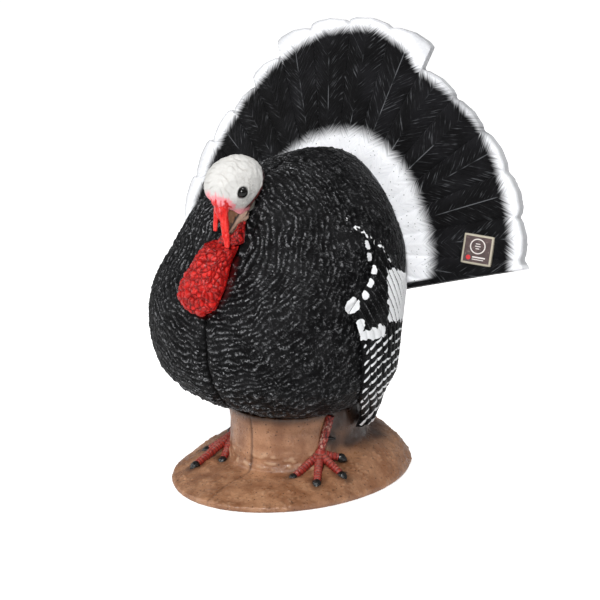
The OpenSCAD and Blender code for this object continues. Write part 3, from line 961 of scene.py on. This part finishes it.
def build_marker():
    """The marker as its own slightly rounded sheet that follows the fan's front face."""
    steps = 28
    half = PATCH_SIZE / 2 - 0.2
    rows = []
    for j in range(steps + 1):
        for i in range(steps + 1):
            u, v = 2 * i / steps - 1, 2 * j / steps - 1
            pull = 1 - 0.035 * (u * v) ** 6
            rows.append((half * u * pull, half * v * pull))
    flat = np.array(rows)
    edge = np.maximum(np.abs(flat[:, 0]), np.abs(flat[:, 1])) / half
    lift = 1.2 * np.sqrt(unit(1 - ramp(edge, 0.93, 1.0) * 0.75))
    curl = 0.12 * noise(np.c_[flat, 0 * flat[:, 0]], 12, 40)
    out, up = PATCH_AT[0] + flat[:, 0], PATCH_AT[1] + flat[:, 1]
    front = fan_face(out)
    c, s = cos(FAN_LEAN), sin(FAN_LEAN)

    def to_row(back):
        return FAN_HUB + np.stack([out, back * c + up * s, up * c - back * s], 1)

    top, under = to_row(front - lift - curl), to_row(front + 1.5)
    points = np.concatenate([top, under])
    n, count = steps + 1, (steps + 1) ** 2
    faces = []
    for j in range(steps):
        for i in range(steps):
            a = j * n + i
            faces.append((a, a + 1, a + n + 1, a + n))
            faces.append((count + a, count + a + n, count + a + n + 1, count + a + 1))
    for k in range(steps):
        for a, b in ((k, k + 1), (count - n + k + 1, count - n + k), ((k + 1) * n, k * n),
                     (k * n + n - 1, (k + 1) * n + n - 1)):
            faces.append((b, a, count + a, count + b))
    obj = new_object("marker_print", points, faces)
    q = to_fan(raw_points(obj.data).astype(float) / MM)
    field = obj.data.attributes.new("print", "FLOAT_VECTOR", "POINT")
    place = np.stack([q[:, 0] - PATCH_AT[0], q[:, 2] - PATCH_AT[1], 0 * q[:, 0]], 1)
    field.data.foreach_set("vector", place.astype(np.float32).ravel())
    dress(obj, marker_finish(), ["marker_patch"])


# ------------------------------------------------------------
# Head


def build_head():
    down = np.array([0.02, 0.06, -1.0])
    funnel = [
        bulb(np.array([x, y, z]), down, radius, length)  # the face narrows into the snood's root
        for x, y, z, radius, length in (
            (0.0, -156.0, 426.0, 15.5, 30),
            (0.5, -155.0, 414.0, 13, 28),
            (1.5, -155.5, 403.0, 10, 26),
            (2.5, -156.0, 394.0, 8, 24),
        )
    ]
    skin = Skin("head_foam", ["head"], 0.75, 9, funnel)
    p = skin.p.copy()
    from_root = np.linalg.norm((p - BROW) * [1, 0.8, 1], axis=1)
    forward, z = -p[:, 1], p[:, 2]
    mirrored = np.abs(p[:, 0])
    eye_gap = np.linalg.norm(np.c_[mirrored, p[:, 1:]] - EYE_AT, axis=1) - EYE_R
    shown = ramp((p - NECK_SEAT) @ JOINT_AXIS["head_pull"], 1, 5)

    ring = wrapped((from_root + 2.6 * noise(p, 14, 50)) / 5.8)
    dome = ramp(z, 416, 430) * shown * ramp(eye_gap, 1, 6)
    forehead = ramp(forward, 118, 138) * ramp(mirrored, 31, 22)
    wrinkle = bell(ring, 0.13) * np.clip(0.6 + 1.2 * noise(p, 11, 54), 0.05, 1) * forehead
    pebbles, next_pebble = cells(p, 4.2, 51)
    lid = bell(eye_gap - 2.2, 1.3)
    cheek = ramp(z, 425, 410) * shown
    behind_eye = shown * bell(eye_gap - 9, 7) * ramp(forward, 152, 140) * ramp(z, 404, 414)
    crinkle = bell(noise(p, 5, 55), 0.14)
    lumpy = ramp(z, 394, 384) * shown
    bead, bead_gap = domes(p, 5.8, 53)
    height = 0.35 * dome - 0.7 * wrinkle * dome + 0.9 * lid + 0.5 * (0.5 - pebbles) * cheek
    height += (1.7 * bead - 1.0) * lumpy - 0.5 * crinkle * behind_eye
    height += 0.9 * noise(p, 13, 52) * shown + 0.7 * noise(p, 6, 56) * dome - 1.3 * bell(eye_gap, 1.0)
    height -= 3.0 * bell(z - 376, 17) * ramp(forward, 116, 124) * shown
    skin.push(height)

    neck = ramp(108 - (z - 430) * 0.78 - forward, -5, 5)
    streaks = 0.3 * noise(p * [1, 1, 0.13], 3.0, 57)
    blush = ramp(z, 438, 404) * ramp(forward, 140, 153) * ramp(mirrored, 25, 13)
    blush = unit(blush * (1 + streaks) + streaks * bell(blush - 0.5, 0.4) * ramp(forward, 140, 153))
    under_beak = ramp(z, 410, 396) * ramp(forward, 104, 116)
    gaps = ramp(bead_gap, 0.16, 0.02) * lumpy
    fine_gaps = ramp(next_pebble - pebbles, 0.12, 0.02) * cheek
    skin.fields = {
        # crease: painted shade in the wrinkles, pebble gaps, crinkles and bead gaps
        "crease": np.maximum(0.5 * wrinkle * dome + fine_gaps * 0.4, gaps) + 0.5 * crinkle * behind_eye,
        "blush": np.maximum(blush, under_beak * 0.45),
        "neck": neck * (1 - under_beak * 0.6) + lumpy,
        # dark: painted shade at the back of the neck
        "dark": ramp(forward, 118, 96) * 0.8,
        "flesh": lumpy * ramp(forward, 102, 116),
        "socket": ramp(eye_gap, 1.6, 0.3),
    }
    skin.done(head_finish())


def build_eye(side):
    Skin("eyeball_" + side, ["eye_" + side], 0.45, 2).done(EYE_GLOSS)


def build_beak():
    horns = (("upper", HORN_BROWN, srgb(150, 104, 72)), ("lower", HORN_TAN, srgb(140, 104, 84)))
    for part, body, streak in horns:
        skin = Skin("beak_horn_" + part, ["beak_" + part], 0.45, 4)
        ridge = noise(skin.p * [1, 0.35, 0.35], 2.4, 60)
        skin.push(0.25 * ridge - 0.1)
        other = "beak_lower" if part == "upper" else "beak_upper"
        # painted shade where the two halves meet, along the mouth line and in the ridges' grooves
        mouth = ramp(distance_to(other, skin.p, 6), 2.6, 1.0)
        behind = skin.p @ np.array([0, 0.85, -0.53]) - MOUTH_LINE
        line = bell(behind, 1.9)
        skin.fields = {
            "crease": np.maximum(mouth, line) * 0.95 + ramp(ridge, -0.3, -0.7) * 0.5,
            "behind": ramp(behind, 0, 1.5) * 0.8,
        }
        skin.done(beak_finish("beak_paint_" + part, body, streak))


def build_snood():
    skin = Skin("snood_flesh", ["snood"], 0.5, 5)
    p = skin.p.copy()
    cords = noise(p * [1, 1, 0.22], 2.6, 61)
    rings = noise(p * [0.5, 0.5, 1], 3.0, 62)
    skin.push(0.55 * cords + 0.25 * rings - 0.15)
    # painted highlights along the cords' crests and painted shade in their grooves
    skin.fields = {"crest": ramp(cords, 0.1, 0.7), "crease": ramp(cords, -0.3, -0.8) * 0.3}
    skin.done(flesh_finish("snood_paint", SKIN_RED, BRIGHT_RED))


def build_wattle():
    """Caruncles: tight beads on the neck, and bigger lobes where the wattle hangs on the breast."""
    skin = Skin("wattle_flesh", ["wattle"], 0.7, 6)
    p = skin.p.copy()
    x, _, z = p.T
    skin.p[:, 0] -= 9 * ramp(x, 6, 26) * ramp(z, 352, 330) * ramp(z, 278, 296)
    low = ramp(z, 318, 292)
    bent = p + 1.6 * np.stack([noise(p, 9, 70), noise(p, 9, 71), noise(p, 9, 72)], 1)
    bead, bead_gap = domes(bent * [1, 1, 0.9], BEAD, 73)
    lobe, lobe_gap = domes(bent, LOBE, 74)
    shown = ramp(-skin.n[:, 1], -0.55, -0.1)
    cleft = bell(x + 7, 1.3) * ramp(z, 300, 286)
    swell = 0.75 + 0.5 * noise(p, 15, 76)
    height = (4.2 * bead * (1 - low) + 5.4 * lobe * low) * swell * shown - 3.2 * shown - 1.8 * cleft * shown
    skin.push(height)
    skin.settle()
    skin.push(0.22 * noise(skin.p, 1.8, 75) * shown)
    gaps = ramp(bead_gap, 0.3, 0.0) * (1 - low) + ramp(lobe_gap, 0.26, 0.0) * low
    tops = bead * (1 - low) + lobe * low
    skin.settle()
    # painted highlights on the beads' tops, strongest on faces turned towards the key light, and painted shade in
    # the gaps and the cleft
    lit = ramp(skin.n @ np.array([0.36, -0.62, 0.7]), 0.86, 0.99)
    skin.fields = {
        "crest": (0.25 + 0.75 * lit) * tops**2 * shown,
        "crease": unit(gaps**1.5 * 0.62 + cleft),
    }
    skin.done(flesh_finish("wattle_paint", srgb(148, 7, 6), srgb(200, 15, 12)))


# ------------------------------------------------------------
# Base, legs and claws


def build_base():
    skin = Skin("base_whole", ["base_left", "base_right"], 1.9, 6)
    p = skin.p.copy()
    x, y, z = p.T
    above = ramp(z, 1.0, 5.0) * ramp(skin.n[:, 2], -0.7, -0.3)
    radius = np.hypot(x, y * 0.87)
    foot = bell(radius - 81, 5) * ramp(z, 27, 32) * ramp(z, 57, 47) * ramp(-y, 0, 30)
    on_mound = ramp(radius, 80, 92)
    pit, _ = cells(p, 12, 80)
    lumps = 1.5 * noise(p, 48, 81) + 0.8 * noise(p, 17, 82) * on_mound
    lumps += 0.45 * noise(p, 6, 83) * (0.3 + 0.7 * on_mound)
    seam = bell(x, 1.5) * (1 - 0.55 * on_mound)
    keep_clear = ramp(np.hypot(x, np.abs(y) - 45), 8, 14)
    pits = ramp(pit, 0.17, 0.07)
    ripple = 1.3 * noise(p * [1, 1, 2.2], 11, 84)
    grains, _ = cells(p, 5.2, 88)
    gritty = 1.3 * ramp(grains, 0.5, 0.15) * unit(0.55 + noise(p, 26, 89)) * on_mound
    height = (lumps + gritty + (1.2 + ripple) * foot - 1.1 * pits - 1.6 * seam) * above * keep_clear
    height *= ramp(STUMP_TOP - z, 0, 5)
    skin.push(height)

    claws = np.minimum(distance_to("claws_left", p, 16), distance_to("claws_right", p, 16))
    belly = ramp(z, STUMP_TOP - 16, STUMP_TOP - 3)
    flank = ramp(np.abs(x), 40, 62) * ramp(y, -34, -12) * ramp(z, 34, 56)
    haze = 0.6 + 0.5 * noise(p, 22, 85)
    streak = 0.5 + 0.5 * noise(p * [1, 1, 0.3], 5, 86)
    shadow = flank * (0.4 + haze) * 0.9 + ramp(claws, 11, 3) * 0.55
    skin.fields = {
        # crest: painted highlight on the foot's ripples and the grains
        "crest": foot * ramp(ripple + 0.4 * noise(p, 5, 87), 0.0, 0.8) + 0.35 * gritty,
        "shade": unit(belly * 0.7 + shadow + 0.7 * pits * on_mound),
        "black": belly * ramp(z, STUMP_TOP - 7, STUMP_TOP - 1) * streak,
        "seam": seam * 0.8 * above,
    }
    split_at_middle(skin, "ground_foam_left", "ground_foam_right", ground_finish())


def build_leg(side):
    node = "leg_" + side
    skin = Skin("leg_skin_" + side, [node], 0.7, 4)
    p = skin.p.copy()
    sign = 1 if side == "left" else -1
    ankle = ANKLE * [sign, 1, 1]
    reach = np.linalg.norm(p - ankle, axis=1)
    shank = ramp(p[:, 2], 52, 60)
    scale, next_scale = cells(p * [1, 1, 0.75], 4.4, 90)
    band = wrapped(reach / 4.6 + 0.3 * noise(p, 9, 91))
    edge = join(band, 0.13)
    gaps = ramp(next_scale - scale, 0.16, 0.02)
    skin.push(0.35 - 0.75 * edge * (1 - shank) - 0.7 * gaps * shank + 0.3 * noise(p, 7, 92))
    facing = ramp(-skin.n[:, 1], -0.2, 0.5)
    on_scales = 0.6 * facing * shank * ramp(scale, 0.6, 0.4) * ramp(p[:, 2], 98, 84)
    on_toes = 0.15 * (1 - shank) * ramp(skin.n[:, 2], 0.5, 0.9)
    skin.fields = {
        # crease: painted shade between scales and in the toes' folds
        "crease": unit(edge * (1 - shank) * 0.8 + gaps * shank),
        "white": on_scales + on_toes,
    }
    skin.done(LEG_PAINT)


def islands(points, triangles):
    """The node's separate solids, as arrays of points."""
    keys = np.unique(points.round(3), axis=0, return_inverse=True)[1].ravel()
    parent = np.arange(keys.max() + 1)

    def root(i):
        while parent[i] != i:
            parent[i] = parent[parent[i]]
            i = parent[i]
        return i

    for a, b, c in keys[triangles]:
        parent[root(a)] = root(b)
        parent[root(b)] = root(c)
    roots = np.array([root(k) for k in keys])
    return [points[roots == r] for r in np.unique(roots)]


def bulb(centre, axis, radius, length, steps=14):
    """An egg along axis: blunt behind and tapering in front. Returns its points and triangles."""
    axis = axis / np.linalg.norm(axis)
    side = np.cross(axis, [0, 0, 1])
    side /= np.linalg.norm(side)
    up = np.cross(side, axis)
    rows = [centre - axis * length * 0.42]
    for k in range(1, steps):
        t = k / steps
        girth = radius * sin(pi * t**0.8) ** 0.7
        for m in range(steps):
            turn = 2 * pi * m / steps
            around = cos(turn) * side + sin(turn) * up
            rows.append(centre + axis * length * (t - 0.42) + girth * around)
    rows.append(centre + axis * length * 0.58)
    last = len(rows) - 1
    faces = []
    for m in range(steps):
        after = (m + 1) % steps
        faces.append((0, 1 + after, 1 + m))
        faces.append((last, last - steps + m, last - steps + after))
        for k in range(steps - 2):
            a, b = 1 + k * steps + m, 1 + k * steps + after
            faces += [(a, b, b + steps), (a, b + steps, a + steps)]
    return np.array(rows), np.array(faces)


def build_claws(side):
    """The claws' cones, each with a swollen black sheath at its root."""
    node = "claws_" + side
    points, triangles = cad_arrays([node])
    sign = 1 if side == "left" else -1
    ankle = ANKLE * [sign, 1, 1]
    sheaths = []
    for part in islands(points, triangles):
        gap = np.linalg.norm(part - ankle, axis=1)
        tip, heel = part[gap.argmax()], part[gap < gap.min() + 2].mean(0)
        if gap.min() < 24:
            continue
        sheaths.append(bulb(heel + (tip - heel) * 0.3, tip - heel, 6.3, 17))
    skin = Skin("claw_set_" + side, [node], 0.7, 3, sheaths)
    skin.push(0.35 * noise(skin.p, 4, 95) + 0.2 * noise(skin.p, 1.8, 96))
    skin.done(CLAW_PAINT)


# ------------------------------------------------------------
# Light, floor and camera


def build_stage():
    floor = bpy.data.meshes.new("floor")
    far, under = 30, -0.0006  # the floor lies just below the base, so that the two don't mix
    corners = [(x * far, y * far, under) for x, y in ((-1, -1), (1, -1), (1, 1), (-1, 1))]
    floor.from_pydata(corners, [], [(0, 1, 2, 3)])
    obj = add_object("floor", floor)
    f = Finish("floor_pale")
    f.feed(f.shader.inputs["Emission Color"], (1, 1, 1, 1))
    seen = f.node("ShaderNodeLightPath").outputs["Is Camera Ray"]
    f.feed(f.shader.inputs["Emission Strength"], f.ramp(seen, 0, 1, 0.12, 0.7))
    floor.materials.append(f.set(colour=(0.9, 0.9, 0.9, 1), rough=0.7, spec=0.2))

    world = bpy.data.worlds.new("studio")
    world.use_nodes = True
    backdrop = world.node_tree.nodes["Background"].inputs
    backdrop["Color"].default_value = (1, 1, 1, 1)
    seen = world.node_tree.nodes.new("ShaderNodeLightPath").outputs["Is Camera Ray"]
    level = world.node_tree.nodes.new("ShaderNodeMapRange")
    level.inputs["To Min"].default_value = 0.24
    world.node_tree.links.new(seen, level.inputs["Value"])
    world.node_tree.links.new(level.outputs[0], backdrop["Strength"])
    bpy.context.scene.world = world
    bpy.context.scene.view_settings.view_transform = "Standard"

    middle = Vector((0, 0, 0.3))
    for name, place, size, power in (
        ("key", (1.3, -2.6, 2.3), 0.8, 90),
        ("fill", (-2.6, -1.8, 1.6), 1.0, 36),
        ("top", (0.3, 0.3, 3.0), 0.9, 32),
    ):
        light = bpy.data.lights.new(name, "AREA")
        light.size = size
        light.energy = power
        lamp = add_object(name, light)
        lamp.location = place
        lamp.rotation_euler = (middle - Vector(place)).to_track_quat("-Z", "Y").to_euler()


def build_camera():
    """A long lens from the bird's front left, a little above it."""
    distance, target = 4.628, Vector((0, 0, 0.3015))
    level = cos(VIEW_RISE)
    back = Vector((sin(VIEW_AZIMUTH) * level, -cos(VIEW_AZIMUTH) * level, sin(VIEW_RISE)))
    camera = bpy.data.cameras.new("photo_view")
    camera.sensor_width = 36
    camera.lens = 207.2
    camera.shift_x = 0.0123
    camera.shift_y = -0.0717
    camera.clip_end = 100
    obj = add_object("photo_view", camera)
    obj.location = target + back * distance
    obj.rotation_euler = (-back).to_track_quat("-Z", "Y").to_euler()
    bpy.context.scene.camera = obj


def build_inserts():
    """The hidden plastic and wood parts keep their CAD shapes."""
    tubes = ("stake_tube_front", "stake_tube_rear", "tail_socket", "neck_socket")
    for finish, nodes in ((tube_finish(), tubes), (wood_finish(), ("tail_tongue", "neck_peg"))):
        for node in nodes:
            materials = frame["nodes"][node].data.materials
            materials.clear()
            materials.append(finish)


WING_PAINT = foam_finish("wing_paint")
LEG_PAINT = leg_finish()
CLAW_PAINT = claw_finish()
EYE_GLOSS = eye_finish()

build_torso()
build_fan()
build_marker()
build_head()
build_beak()
build_snood()
build_wattle()
build_base()
for side in ("left", "right"):
    build_wing(side)
    build_leg(side)
    build_claws(side)
    build_eye(side)
build_inserts()
build_stage()
build_camera()
